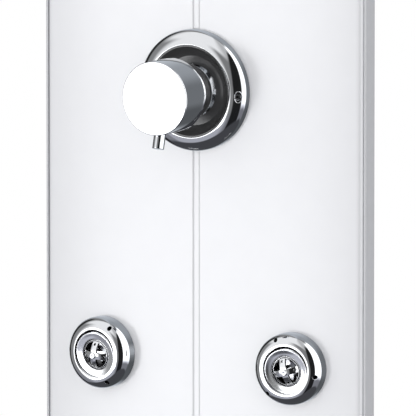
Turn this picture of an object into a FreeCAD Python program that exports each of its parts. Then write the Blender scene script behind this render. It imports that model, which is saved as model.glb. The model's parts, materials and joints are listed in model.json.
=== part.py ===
# Shower panel column: a wall-hung column with a single-lever mixer and two swivelling body jets.
# Millimetres. X to the right seen from the front, Y into the wall, Z up.
# The origin is the centre of the four wall screw holes, on the wall's surface.
# A fitting has its own frame: u to the right, v up, w straight out of the panel, from the panel's surface.
import FreeCAD, Part
import math
import os

V = FreeCAD.Vector

# ---------------------------------------------------------------- driving dimensions
# column
column_height = 1200.0
column_width = 250.0
rear_depth = 31.0  # wall to the back of the side rails' outer walls
edge_depth = 13.0  # visible side of the column
crown = 10.0  # how far the middle of the front stands out past its edges
rear_width = 200.0  # narrow box against the wall

# front panel
panel_wall = 3.0
panel_edge_round = 3.0
panel_leg = 5.0
panel_seam = 1.0  # dark gap between the panel and the rail's lip
groove_width = 4.6
groove_depth = 1.2
boss_r = 4.0
boss_in_from_edge = 13.0
boss_rows = 5
boss_end_space = 120.0  # from the column's end to the last boss
edge_break = 0.3  # small bevels on rims and lips

# side rails
rail_wall = 2.0
lip_wall = 1.6
lip_step_back = 1.4  # the lip lies this far behind the panel's edge
rail_return = 9.0  # narrow enough for a union nut beside it
lip_bevel = 0.5
port_r = 3.2
port_pilot_r = 1.5
port_overlap = 0.5  # how far a screw port runs into the walls beside it

# end caps
cap_wall = 3.0

# wall brackets and the plates that hang on them
bracket_space = 960.0
bracket_hole_space = 120.0
bracket_hole_r = 3.25
bracket_length = 160.0
bracket_height = 40.0
bracket_wall = 2.5
hook_out = 8.0
hook_rise = 14.0
hook_width = 20.0
hook_from_centre = 40.0
hook_play = 1.1  # the plate hangs this far in front of the bracket's face
plate_wall = 2.0
plate_height = 50.0
plate_tab = 14.0
plate_slot_drop = 11.0
plate_slot_play = 2.0

# screws
panel_screw_r = 1.35
panel_screw_length = 10.0
panel_screw_head_r = 3.6
panel_screw_hole_r = 2.2
plate_screw_r = 1.95
plate_screw_length = 8.0
plate_screw_head_r = 4.0
plate_screw_spacing = 28.0
cap_screw_length = 12.0
cap_screw_head_r = 2.9
cap_screw_head_height = 1.5
cap_recess_depth = 1.6
head_height = 2.2
slot_width = 1.0
slot_depth = 1.0

# mixer
mixer_z = 60.0
inlet_space = 150.0
waterway_from_wall = 26.0
arm_r = 10.0
elbow_r = 11.5
port_offset = 5.5
port_bore_r = 2.4
port_angles = (150, 30, 270)  # hot, cold and mixed
waterway_r = 4.0
waterway_web = 2.4  # between the ends of the hot and the cold waterway
outlet_way_start = 2.2
inlet_thread_r = 10.4775  # G1/2 outside diameter 20.955
inlet_thread_length = 11.5
inlet_bore_r = 7.0
inlet_end_from_wall = 4.0
nose_r = 21.0
nose_front = 3.4
body_r = 24.5
body_flange_r = 28.0
body_flange_wall = 3.0
body_back_from_wall = 14.0
chamber_r = 17.6
chamber_floor_wall = 5.5
gasket_wall = 1.5
outlet_boss_r = 11.4
outlet_boss_drop = 36.0
outlet_spigot_depth = 10.0
spigot_r = 8.5
tail_spigot_length = 8.0
tee_spigot_length = 9.5
valve_length = 10.0
valve_step_back = 1.0
valve_bore_r = 5.4
valve_seat_r = 3.0
valve_seat_wall = 1.5
valve_seat_from_front = 4.0

# escutcheon, a quarter-round ring, over the sleeve that clamps the body to the panel
rim_r = 41.2
rim_height = 10.8
rim_round = 9.5
rim_lip = 2.2
rim_back = 0.3
sleeve_r = 31.3
sleeve_height = 10.2
sleeve_back = 0.4
funnel_r = 30.3
funnel_floor_r = 23.6
funnel_floor = 4.4
sleeve_flange_r = 17.9  # the funnel's floor hides the body's nose and lets a spanner in
sleeve_flange_gap = 0.2
funnel_belly_in = 2.2
funnel_belly_up = 3.0
set_screw_slope = 38.0  # the set screw stands square to the ring where its side slopes this much
set_screw_angle = -3.0
set_screw_r = 2.0
set_screw_length = 6.0
set_screw_sunk = 1.2
set_screw_socket = 2.0
countersink_r = 2.9
countersink_depth = 0.5
rim_skirt = 4.0  # rims run this far past the panel's surface before they are trimmed to it

# knob, turned and lifted about the middle of its ball
pivot_height = 18.0
ball_r = 20.0
ball_wall = 1.5
ball_back_angle = 113.0  # from straight ahead to the ball's open back edge
knob_r = 25.0
knob_back = 31.0
knob_face = 55.7
knob_wall = 4.0
knob_edge_round = 0.7
knob_hub_r = 7.0
knob_hub_step = 1.5
flange_wall = 1.2
lever_r = 4.0
lever_height = 48.3  # where the lever's axis leaves the knob's side
lever_lean = 15.0  # its end leans out from the panel
lever_end = 34.6
lever_end_round = 0.5
lever_root = 12.0
lever_boss_wall = 1.5
knob_screw_r = 2.5
knob_screw_height = 46.0
knob_screw_sunk = 0.3
knob_screw_socket = 2.5
socket_depth = 2.0  # in both grub screws
stem_side = 6.6
stem_rod_r = 1.9
stem_tip_below_pivot = 9.0
stem_square_below_pivot = 2.0
stem_top = 51.0
pivot_pin_r = 1.5
pivot_pin_half = 7.6

# cartridge
cartridge_r = 17.4
cartridge_shoulder = -3.0
neck_r = 11.5
neck_front = 14.5
neck_bore_r = 9.7
disc_seat = 2.0
fixed_disc_wall = 2.5
disc_port_r = 2.0
moving_disc_r = 5.5
moving_disc_wall = 2.5
driver_r = 4.4
driver_height = 3.2
driver_gap = 0.4
carrier_base = 10.6
carrier_front = 22.0
carrier_cheek_r = 8.3
retainer_wall = 1.1
nut_front = 1.8
nut_key_r = 1.6
nut_key_circle = 15.6
nut_key_depth = 2.0
lift_range = 25.0

# body jets
jet_x = 73.4
jet_below_mixer = 184.7
bezel_r = 24.5
bezel_height = 13.4
bezel_round = 7.6
bezel_skirt_wall = 1.5
bezel_shoulder = 1.0
bezel_skirt = 3.0
eye_opening_r = 16.3
nozzle_ball_r = 17.5
nozzle_centre = 4.2
nozzle_face = 8.2  # from the ball's centre to its front edge
nozzle_back = 11.5  # and to its flat back
nozzle_rim = 0.5
nozzle_bore_r = 8.0
nozzle_droop = 7.0  # the nozzles point a little down
seat_gap = 0.3
cup_r = 20.0
cup_front = 4.0
cup_floor = -14.0
cup_floor_wall = 3.0
cup_bore_r = 18.2
seat_ring_bore_r = 9.0
seat_ring_front = -1.5
jet_tail_r = 12.5
jet_tail_wall = 4.0
jet_tail_floor = 2.5
jet_spigot_reach = 7.0  # from the tail's side to the spigot's shoulder
jet_nut_across = 49.0
jet_nut_corner_r = 27.0
jet_nut_wall = 4.9
jet_washer_wall = 1.6
jet_washer_width = 4.5
spray_cup_r = 10.6
spray_cup_floor = 0.2
spray_front = 7.2
spray_floor_wall = 2.0
spray_wall = 1.4
dish_step = 1.4
dish_width = 3.0
dish_rise = 1.0
spray_hole_r = 0.75
spray_hole_circle = 7.4
window_r = 2.2
window_circle = 6.4
arm_half = 2.3
hub_r = 2.2
hub_front = 13.0
hub_foot_r = 3.2
hub_foot_height = 1.2
spanner_hole_r = 1.45
spanner_circle = 21.5
spanner_floor = 7.0
spray_turn = {"left": -7.0, "right": 16.0}
spanner_turn = {"left": 57.0, "right": 111.0}

# hoses from the mixer to the jets
hose_r = 7.0
hose_bore_r = 5.0
barb_length = 13.0
tee_drop = 50.0
tee_half = 16.0
tee_r = 9.0
tee_collar_r = 12.0
tee_collar_height = 4.0
barb_wall = 1.5
barb_run = 2.0  # straight hose after the barb
ferrule_wall = 1.0
ferrule_length = 12.0

# clearances
thread_gap = 0.1
tail_gap = 0.25  # where a tail or the tee screws into the valve body
fit_gap = 0.1
key_gap = 0.05
free_gap = 0.5
hole_gap = 0.15
face_gap = 0.25  # chrome rims over the curved panel
seal_gap = 0.02
shoulder_gap = 0.2
through = 1.0  # how far a cut runs past the surface that it goes through

# ---------------------------------------------------------------- worked out from these
half_width = column_width / 2
half_height = column_height / 2
column_depth = rear_depth + edge_depth + crown
edge_y = -(rear_depth + edge_depth)
rail_y = -rear_depth
panel_half = half_width - lip_wall - panel_seam
arc_r = (panel_half**2 + crown**2) / (2 * crown)
arc_centre_y = -column_depth + arc_r
body_end = half_height - cap_wall  # the panel and rails end under the caps
waterway_y = -waterway_from_wall
boss_x = panel_half - boss_in_from_edge
plate_y = -(bracket_wall + hook_play + plate_wall)
rear_half = rear_width / 2


# ---------------------------------------------------------------- small tools
def outline(start, *steps):
    """A closed face in the XY plane: each step is a point, or a pair of points for an arc through the first."""
    edges = []
    here = V(*start, 0)
    for step in steps + (start,):
        if isinstance(step[0], tuple):
            via = V(*step[0], 0)
            end = V(*step[1], 0)
            edges.append(Part.Arc(here, via, end).toShape())
        else:
            end = V(*step, 0)
            if end.distanceToPoint(here) < 1e-9:
                continue
            edges.append(Part.makeLine(here, end))
        here = end
    return Part.Face(Part.Wire(edges))


def turned(start, *steps):
    """A solid of revolution about w from an outline of (radius, w) points."""
    face = outline(start, *steps)
    face.rotate(V(0, 0, 0), V(1, 0, 0), 90)
    return face.revolve(V(0, 0, 0), V(0, 0, 1), 360)


def rod(r, w0, w1):
    return Part.makeCylinder(r, w1 - w0, V(0, 0, w0))


def ring(r_out, r_in, w0, w1):
    return rod(r_out, w0, w1).cut(rod(r_in, w0 - through, w1 + through))


def bar(r, start, end):
    """A round bar from one point to another."""
    a = V(*start)
    b = V(*end)
    return Part.makeCylinder(r, (b - a).Length, a, b - a)


def block(x0, x1, y0, y1, z0, z1):
    return Part.makeBox(x1 - x0, y1 - y0, z1 - z0, V(x0, y0, z0))


def hexagon(across, w0, w1):
    """A hexagonal bar about w, as wide across its flats as given."""
    corner = across / math.sqrt(3)
    angles = [math.radians(a) for a in range(0, 361, 60)]
    points = [V(corner * math.cos(a), corner * math.sin(a), w0) for a in angles]
    return Part.Face(Part.makePolygon(points)).extrude(V(0, 0, w1 - w0))


def extruded(face, z0, z1):
    shape = face.extrude(V(0, 0, z1 - z0))
    shape.translate(V(0, 0, z0))
    return shape


def mirrored(shape):
    return shape.mirror(V(0, 0, 0), V(1, 0, 0))


def arc_y(x, offset=0.0):
    """Y of the front's arc at x, moved out of the panel by the offset."""
    return arc_centre_y - math.sqrt((arc_r + offset) ** 2 - x**2)


def fitting_frame(x, z):
    """The frame of a fitting on the curved front: u, v, w from its point on the panel's surface."""
    lean = math.asin(x / arc_r)
    u = V(math.cos(lean), math.sin(lean), 0)
    w = V(math.sin(lean), -math.cos(lean), 0)
    at = V(x, arc_y(x), z)
    m = FreeCAD.Matrix(u.x, 0, w.x, at.x, u.y, 0, w.y, at.y, 0, 1, 0, at.z)
    return FreeCAD.Placement(m)


def under_front(offset, reach=60.0):
    """Everything behind the front's arc, moved out by the offset, for trimming what sits on the panel."""
    return Part.makeCylinder(arc_r + offset, column_height, V(0, arc_centre_y, -half_height)).common(
        block(-panel_half, panel_half, -column_depth - reach, 0, -half_height, half_height)
    )


def put(shape, frame):
    shape = shape.copy()
    shape.Placement = frame.multiply(shape.Placement)
    return shape


def spin(shape, angle, axis=V(0, 0, 1), about=V(0, 0, 0)):
    shape = shape.copy()
    shape.rotate(about, axis, angle)
    return shape


written = {}


def save(node, *solids):
    shape = solids[0] if len(solids) == 1 else Part.makeCompound(list(solids))
    pieces = shape.Solids
    if not shape.isValid() or not pieces:
        raise RuntimeError(node + " has no valid solid")
    shape.exportStep("parts/" + node + ".step")
    written[node] = len(pieces)


# ---------------------------------------------------------------- column
mixer = fitting_frame(0, mixer_z)
jet_z = mixer_z - jet_below_mixer
jets = {"left": fitting_frame(-jet_x, jet_z), "right": fitting_frame(jet_x, jet_z)}


def front_panel():
    inner_half = panel_half - panel_wall
    section = outline(
        (-panel_half, edge_y),
        ((0, -column_depth), (panel_half, edge_y)),
        (panel_half, edge_y + panel_leg),
        (inner_half, edge_y + panel_leg),
        (inner_half, arc_y(inner_half, -panel_wall)),
        ((0, -column_depth + panel_wall), (-inner_half, arc_y(inner_half, -panel_wall))),
        (-inner_half, edge_y + panel_leg),
        (-panel_half, edge_y + panel_leg),
    )
    panel = extruded(section, -body_end, body_end)
    long_edges = [
        e for e in panel.Edges if e.Length > column_height / 2 and abs(e.Vertexes[0].Point.y - edge_y) < 0.01
    ]
    panel = panel.makeFillet(panel_edge_round, long_edges)
    half_groove = groove_width / 2
    groove_floor = -column_depth + groove_depth
    groove = block(-half_groove, half_groove, -column_depth - through, groove_floor, -half_height, half_height)
    panel = panel.cut(groove)
    for x, z in boss_places():
        boss = bar(boss_r, (x, rail_y - rail_wall, z), (x, arc_y(abs(x) - boss_r, -panel_wall / 2), z))
        panel = panel.fuse(boss)
    for x, z in boss_places():
        pilot = bar(panel_screw_r + key_gap, (x, rail_y, z), (x, rail_y - panel_screw_length - free_gap, z))
        panel = panel.cut(pilot)
    reach = edge_depth
    panel = panel.cut(put(rod(nose_r + free_gap, -reach, reach), mixer))
    for frame in jets.values():
        panel = panel.cut(put(rod(cup_r + free_gap, -reach, reach), frame))
    return panel.removeSplitter()


def boss_places():
    step = (column_height - 2 * boss_end_space) / (boss_rows - 1)
    rows = [-half_height + boss_end_space + i * step for i in range(boss_rows)]
    return [(side * boss_x, z) for side in (-1, 1) for z in rows]


def port_places():
    """Screw ports along the right rail, tangent to its walls."""
    tuck = port_r - port_overlap
    inner = (rear_half - rail_wall - tuck, rail_y + tuck)
    outer = (half_width - lip_wall - tuck, rail_y - rail_wall - tuck)
    return [inner, outer]


def side_rail():
    lip_y = edge_y + lip_step_back
    section = outline(
        (half_width - lip_wall, lip_y),
        (half_width - lip_bevel, lip_y),
        (half_width, lip_y + lip_bevel),
        (half_width, rail_y),
        (rear_half, rail_y),
        (rear_half, 0),
        (rear_half - rail_return, 0),
        (rear_half - rail_return, -rail_wall),
        (rear_half - rail_wall, -rail_wall),
        (rear_half - rail_wall, rail_y - rail_wall),
        (half_width - lip_wall, rail_y - rail_wall),
    )
    rail = extruded(section, -body_end, body_end)
    for x, y in port_places():
        rail = rail.fuse(Part.makeCylinder(port_r, 2 * body_end, V(x, y, -body_end)))
    for x, y in port_places():
        rail = rail.cut(Part.makeCylinder(port_pilot_r, column_height, V(x, y, -half_height)))
    for x, z in boss_places():
        hole = bar(panel_screw_hole_r, (x, rail_y + through, z), (x, rail_y - rail_wall - seal_gap, z))
        rail = rail.cut(hole)
    for y, z in plate_screw_places():
        inside = rear_half - rail_wall - through
        hole = bar(plate_screw_r + hole_gap, (inside, y, z), (rear_half + through, y, z))
        rail = rail.cut(hole)
    return rail.removeSplitter()


def end_cap():
    """The top cap; the bottom one is its mirror image."""
    lip_y = edge_y + lip_step_back
    section = outline(
        (-panel_half, edge_y),
        ((0, -column_depth), (panel_half, edge_y)),
        (half_width, lip_y),
        (half_width, rail_y),
        (rear_half, rail_y),
        (rear_half, 0),
        (-rear_half, 0),
        (-rear_half, rail_y),
        (-half_width, rail_y),
        (-half_width, lip_y),
    )
    cap = extruded(section, body_end, half_height)
    for x, y in port_places():
        for side in (-1, 1):
            hole = bar(port_pilot_r + free_gap, (side * x, y, body_end - through), (side * x, y, half_height))
            seat = (side * x, y, half_height - cap_recess_depth)
            recess = bar(cap_screw_head_r + shoulder_gap, seat, (side * x, y, half_height + through))
            cap = cap.cut(hole).cut(recess)
    return cap


def cap_screws():
    screws = []
    for x, y in port_places():
        seat = half_height - cap_recess_depth
        shank = bar(port_pilot_r - key_gap, (x, y, seat - cap_screw_length), (x, y, seat))
        head = bar(cap_screw_head_r, (x, y, seat), (x, y, seat + cap_screw_head_height))
        across = (x - slot_width / 2, x + slot_width / 2, y - cap_screw_head_r, y + cap_screw_head_r)
        slot = block(*across, seat + cap_screw_head_height / 2, half_height)
        screw = shank.fuse(head).cut(slot)
        screws += [screw, mirrored(screw)]
    return screws


def panel_screws():
    screws = []
    for x, z in boss_places():
        shank = bar(panel_screw_r, (x, rail_y, z), (x, rail_y - panel_screw_length, z))
        head = bar(panel_screw_head_r, (x, rail_y + head_height, z), (x, rail_y, z))
        slot_floor = rail_y + head_height - slot_depth
        along = (x - panel_screw_head_r, x + panel_screw_head_r, slot_floor, rail_y + head_height + through)
        slot = block(*along, z - slot_width / 2, z + slot_width / 2)
        screws.append(shank.fuse(head).cut(slot))
    return screws


# ---------------------------------------------------------------- hanging on the wall
def bracket_levels():
    return {"lower": -bracket_space / 2, "upper": bracket_space / 2}


def wall_bracket(z):
    half = bracket_length / 2
    out = -bracket_wall - hook_out
    bracket = block(-half, half, -bracket_wall, 0, z - bracket_height / 2, z + bracket_height / 2)
    for side in (-1, 1):
        x0 = side * hook_from_centre - hook_width / 2
        x1 = x0 + hook_width
        bracket = bracket.fuse(block(x0, x1, out, -bracket_wall, z - bracket_wall, z))
        bracket = bracket.fuse(block(x0, x1, out, out + bracket_wall, z - bracket_wall, z + hook_rise))
        x = side * bracket_hole_space / 2
        bracket = bracket.cut(bar(bracket_hole_r, (x, -bracket_wall - through, z), (x, through, z)))
    return bracket.removeSplitter()


def plate_screw_places():
    levels = bracket_levels().values()
    return [(plate_y - plate_tab / 2, z + end * plate_screw_spacing / 2) for z in levels for end in (-1, 1)]


def hanging_plate(z):
    """A steel plate between the rails; the tops of its two slots rest on the wall bracket's hooks."""
    half = rear_half - rail_wall
    low = z - plate_height / 2
    high = z + plate_height / 2
    plate = block(-half, half, plate_y, plate_y + plate_wall, low, high)
    for side in (-1, 1):
        inner = side * (half - plate_wall)
        x0 = min(side * half, inner)
        plate = plate.fuse(block(x0, x0 + plate_wall, plate_y - plate_tab, plate_y, low, high))
        slot_half = hook_width / 2 + plate_slot_play
        x = side * hook_from_centre
        behind = plate_y + plate_wall + through
        plate = plate.cut(
            block(x - slot_half, x + slot_half, plate_y - through, behind, z - plate_slot_drop, z)
        )
        for y, screw_z in plate_screw_places():
            start = side * (half - plate_wall - through)
            end = side * (half + through)
            plate = plate.cut(bar(plate_screw_r + key_gap, (start, y, screw_z), (end, y, screw_z)))
    return plate.removeSplitter()


def plate_screws():
    screws = []
    for y, z in plate_screw_places():
        shank = bar(plate_screw_r, (rear_half, y, z), (rear_half - plate_screw_length, y, z))
        head = bar(plate_screw_head_r, (rear_half, y, z), (rear_half + head_height, y, z))
        slot_floor = rear_half + head_height - slot_depth
        depth = (slot_floor, rear_half + head_height + through)
        across = (y - plate_screw_head_r, y + plate_screw_head_r)
        slot = block(*depth, *across, z - slot_width / 2, z + slot_width / 2)
        screw = shank.fuse(head).cut(slot)
        screws += [screw, mirrored(screw)]
    return screws


# ---------------------------------------------------------------- mixer
def world_to_w(y):
    """Height above the crown of a plane at y."""
    return -column_depth - y


chamber_floor = world_to_w(waterway_y - waterway_r - chamber_floor_wall)
body_back = world_to_w(-body_back_from_wall)
waterway_w = world_to_w(waterway_y)
body_front = -panel_wall - gasket_wall
arm_back = world_to_w(-(inlet_end_from_wall + inlet_thread_length))


def cartridge_ports(r, w0, w1):
    """Hot, cold and mixed ports, seen from the front at upper left, upper right and bottom."""
    port = bar(r, (port_offset, 0, w0), (port_offset, 0, w1))
    return [spin(port, a) for a in port_angles]


def mixer_body():
    body = rod(nose_r, body_front - through, nose_front)
    body = body.fuse(rod(body_flange_r, body_front - body_flange_wall, body_front))
    body = body.fuse(rod(body_r, body_back, body_front))
    elbow_x = inlet_space / 2
    for side in (-1, 1):
        x = side * elbow_x
        body = body.fuse(bar(arm_r, (0, 0, waterway_w), (x, 0, waterway_w)))
        body = body.fuse(bar(elbow_r, (x, 0, arm_back), (x, 0, waterway_w + elbow_r)))
    body = body.fuse(bar(outlet_boss_r, (0, 0, waterway_w), (0, -outlet_boss_drop, waterway_w)))
    body = body.cut(rod(chamber_r, chamber_floor, nose_front + through))
    for port in cartridge_ports(port_bore_r, waterway_w, chamber_floor + through):
        body = body.cut(port)
    port_rise = port_offset * math.sin(math.radians(port_angles[1]))
    for side in (-1, 1):
        x = side * elbow_x
        inner = side * waterway_web / 2
        body = body.cut(bar(waterway_r, (inner, port_rise, waterway_w), (x, port_rise, waterway_w)))
        body = body.cut(bar(spigot_r, (x, 0, arm_back - through), (x, 0, waterway_w)))
    body = body.cut(bar(waterway_r, (0, -outlet_way_start, waterway_w), (0, -outlet_boss_drop, waterway_w)))
    spigot_top = outlet_spigot_depth - outlet_boss_drop
    body = body.cut(bar(spigot_r, (0, spigot_top, waterway_w), (0, -outlet_boss_drop - through, waterway_w)))
    return body.removeSplitter()


def inlet_tail(side):
    """A threaded tail towards the wall, screwed into the body's arm."""
    x = side * inlet_space / 2
    front = arm_back + tail_spigot_length
    end = world_to_w(-inlet_end_from_wall)
    tail = bar(spigot_r - tail_gap, (x, 0, front), (x, 0, arm_back))
    tail = tail.fuse(bar(inlet_thread_r, (x, 0, arm_back), (x, 0, end)))
    return tail.cut(bar(inlet_bore_r, (x, 0, front + through), (x, 0, end - through)))


def check_valve(side):
    """A non-return valve's sleeve inside the tail."""
    x = side * inlet_space / 2
    front = arm_back + tail_spigot_length - valve_step_back
    back = front - valve_length
    seat_front = front - valve_seat_from_front
    seat_back = seat_front - valve_seat_wall
    sleeve = bar(inlet_bore_r - thread_gap, (x, 0, front), (x, 0, back))
    sleeve = sleeve.cut(bar(valve_bore_r, (x, 0, front + through), (x, 0, seat_front)))
    sleeve = sleeve.cut(bar(valve_bore_r, (x, 0, seat_back), (x, 0, back - through)))
    return sleeve.cut(bar(valve_seat_r, (x, 0, front), (x, 0, back)))


def clamp_sleeve():
    """Screws on the body's nose in front of the panel; its funnel leaves room for the knob's ball."""
    return turned(
        (sleeve_r, sleeve_back),
        (sleeve_r, sleeve_height),
        (funnel_r, sleeve_height),
        ((funnel_r - funnel_belly_in, funnel_floor + funnel_belly_up), (funnel_floor_r, funnel_floor)),
        (sleeve_flange_r, funnel_floor),
        (sleeve_flange_r, nose_front + sleeve_flange_gap),
        (nose_r + thread_gap, nose_front + sleeve_flange_gap),
        (nose_r + thread_gap, sleeve_back),
    )


def quarter_round(r, top, radius):
    """The steps of a quarter round from its front, at the given height, to the side at radius r."""
    half = radius * math.sqrt(0.5)
    centre = (r - radius, top - radius)
    return [(centre[0], top), ((centre[0] + half, centre[1] + half), (r, centre[1]))]


def set_screw_frame():
    """Square to the ring's round side: its origin lies on the surface, and its axis points out."""
    slope = math.radians(set_screw_slope)
    turn = math.radians(set_screw_angle)
    r = rim_r - rim_round * (1 - math.sin(slope))
    w = rim_height - rim_round * (1 - math.cos(slope))
    out = V(math.sin(slope) * math.cos(turn), math.sin(slope) * math.sin(turn), math.cos(slope))
    return FreeCAD.Placement(V(r * math.cos(turn), r * math.sin(turn), w), FreeCAD.Rotation(V(0, 0, 1), out))


def escutcheon():
    """The chrome ring round the sleeve, with a countersunk hole for its set screw."""
    inner = sleeve_r + fit_gap
    shell = turned(
        (inner, -rim_skirt),
        (inner, rim_height - edge_break),
        (inner + edge_break, rim_height),
        *quarter_round(rim_r, rim_height, rim_round),
        (rim_r, -rim_skirt),
    )
    shell = shell.cut(rod(rim_r - rim_lip, -rim_skirt - through, rim_back))
    bore = rod(set_screw_r + fit_gap, -rim_height, through)
    countersink = rod(countersink_r, -countersink_depth, rim_height)
    shell = shell.cut(put(bore, set_screw_frame())).cut(put(countersink, set_screw_frame()))
    return put(shell, mixer).cut(under_front(face_gap))


def escutcheon_screw():
    socket = hexagon(set_screw_socket, -set_screw_sunk - socket_depth, 0)
    screw = rod(set_screw_r, -set_screw_sunk - set_screw_length, -set_screw_sunk)
    return put(screw.cut(socket), set_screw_frame())


def front_gasket():
    gasket = put(ring(sleeve_r - gasket_wall, nose_r + free_gap, -rim_skirt, sleeve_back), mixer)
    return gasket.cut(under_front(seal_gap))


def back_gasket():
    front = body_front + 2 * gasket_wall
    gasket = put(ring(body_flange_r - 1, nose_r + free_gap, body_front, front), mixer)
    return gasket.common(under_front(-panel_wall - seal_gap))


# ---------------------------------------------------------------- cartridge
disc_top = disc_seat + fixed_disc_wall
moving_top = disc_top + moving_disc_wall


def cartridge_body():
    body = rod(cartridge_r, chamber_floor + fit_gap, cartridge_shoulder)
    body = body.fuse(rod(neck_r, cartridge_shoulder - through, neck_front))
    body = body.cut(rod(neck_bore_r, disc_seat, neck_front + through))
    for port in cartridge_ports(port_bore_r, chamber_floor, disc_seat + through):
        body = body.cut(port)
    return body


def cartridge_nut():
    nut = ring(chamber_r - thread_gap, neck_r + seat_gap, cartridge_shoulder, nut_front)
    for i in range(6):
        a = math.radians(60 * i)
        u = nut_key_circle * math.cos(a)
        v = nut_key_circle * math.sin(a)
        nut = nut.cut(bar(nut_key_r, (u, v, nut_front - nut_key_depth), (u, v, nut_front + through)))
    return nut


def fixed_disc():
    disc = rod(neck_bore_r - fit_gap, disc_seat, disc_top)
    for port in cartridge_ports(disc_port_r, disc_seat - through, disc_top + through):
        disc = disc.cut(port)
    return disc


def moving_disc():
    disc = rod(moving_disc_r, disc_top, moving_top)
    disc = disc.fuse(ring(driver_r, stem_rod_r + driver_gap, moving_top - free_gap, moving_top + driver_height))
    return disc.removeSplitter()


def stem_carrier():
    """Turns in the cartridge's neck; the stem tilts between its cheeks."""
    cheek_gap = stem_side / 2 + fit_gap
    base = rod(neck_bore_r - fit_gap, carrier_base, neck_front - fit_gap)
    lift = math.radians(lift_range)
    sweep = (pivot_height - carrier_base) * math.tan(lift)
    slot_low = -(sweep + stem_rod_r / math.cos(lift) + driver_gap)
    slot_half = stem_rod_r + seat_gap
    base = base.cut(block(-slot_half, slot_half, slot_low, stem_rod_r + driver_gap, 0, carrier_front))
    cheeks = rod(carrier_cheek_r, carrier_base, carrier_front)
    cheeks = cheeks.cut(block(-cheek_gap, cheek_gap, -neck_r, neck_r, 0, pivot_height + carrier_front))
    return base.fuse(cheeks).cut(pivot_hole()).removeSplitter()


def pivot_hole():
    return bar(pivot_pin_r + key_gap, (-neck_r, 0, pivot_height), (neck_r, 0, pivot_height))


def pivot_pin():
    return bar(pivot_pin_r, (-pivot_pin_half, 0, pivot_height), (pivot_pin_half, 0, pivot_height))


def cartridge_retainer():
    return ring(neck_r - fit_gap, carrier_cheek_r + shoulder_gap, neck_front, neck_front + retainer_wall)


# ---------------------------------------------------------------- knob
def lever_stem():
    half = stem_side / 2
    tip = pivot_height - stem_tip_below_pivot
    square_low = pivot_height - stem_square_below_pivot
    stem = block(-half, half, -half, half, square_low, stem_top)
    stem = stem.fuse(rod(stem_rod_r, tip, square_low + through))
    stem = stem.fuse(Part.makeSphere(stem_rod_r, V(0, 0, tip)))
    return stem.cut(pivot_hole())


def knob_ball():
    """The chrome ball behind the knob: a shell, open at the back, with a flange that closes the knob."""
    c = pivot_height
    inner_r = ball_r - ball_wall
    back = math.radians(ball_back_angle)
    front_out = knob_back - c
    flange_front = knob_back + flange_wall
    flange_r = knob_r - knob_wall - shoulder_gap

    def on(r, angle):
        return (r * math.sin(angle), c + r * math.cos(angle))

    front_angle = math.acos(front_out / ball_r)
    inner_front = math.acos((flange_front - c) / inner_r)
    middle = (back + front_angle) / 2
    return turned(
        on(ball_r, back),
        (on(ball_r, middle), on(ball_r, front_angle)),
        (flange_r, knob_back),
        (flange_r, flange_front),
        on(inner_r, inner_front),
        (on(inner_r, (back + inner_front) / 2), on(inner_r, back)),
    )


def lever_point(distance):
    """A point on the lever's axis, at the given distance below the knob's axis."""
    return (0, -distance, lever_height + (distance - knob_r) * math.tan(math.radians(lever_lean)))


def knob():
    """A cap with a square socket on the stem, and a boss inside its wall for the lever."""
    inside = knob_face - knob_wall
    inner_r = knob_r - knob_wall
    edge = knob_edge_round
    near = edge * (1 - math.sqrt(0.5))
    cap = turned(
        (0, inside),
        (0, knob_face),
        (knob_r - edge, knob_face),
        ((knob_r - near, knob_face - near), (knob_r, knob_face - edge)),
        (knob_r, knob_back + edge),
        ((knob_r - near, knob_back + near), (knob_r - edge, knob_back)),
        (inner_r, knob_back),
        (inner_r, inside),
    )
    cap = cap.fuse(rod(knob_hub_r, knob_back + knob_hub_step, inside + through))
    boss = bar(lever_r + lever_boss_wall, lever_point(lever_root - through), lever_point(knob_r))
    cap = cap.fuse(boss.common(rod(inner_r + through, knob_back, inside + through)))
    half = stem_side / 2 + key_gap
    cap = cap.cut(block(-half, half, -half, half, knob_back, stem_top + seat_gap))
    cap = cap.cut(bar(lever_r + thread_gap, lever_point(lever_root - free_gap), lever_point(knob_r + lever_r)))
    key_way_end = (0, -lever_root, knob_screw_height)
    cap = cap.cut(bar(knob_screw_r + thread_gap, (0, 0, knob_screw_height), key_way_end))
    return cap.removeSplitter()


def lever_pin():
    end = lever_point(lever_end)
    pin = bar(lever_r, lever_point(lever_root), end)
    end_edges = [e for e in pin.Edges if e.Length > lever_r and e.CenterOfMass.isEqual(V(*end), 0.01)]
    return pin.makeFillet(lever_end_round, end_edges)


def knob_screw():
    """A grub screw in the hub, reached through the lever's hole."""
    outer = -knob_hub_r + knob_screw_sunk
    screw = bar(knob_screw_r, (0, -stem_side / 2 - seal_gap, knob_screw_height), (0, outer, knob_screw_height))
    socket = spin(hexagon(knob_screw_socket, -socket_depth, through), 90, V(1, 0, 0))
    socket.translate(V(0, outer, knob_screw_height))
    return screw.cut(socket)


# ---------------------------------------------------------------- body jets
def jet_tail_back(frame):
    """How far behind the panel's surface, along the jet's axis, its waterway turns down the column."""
    return (waterway_y - frame.Base.y) / math.cos(math.asin(jet_x / arc_r))


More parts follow.
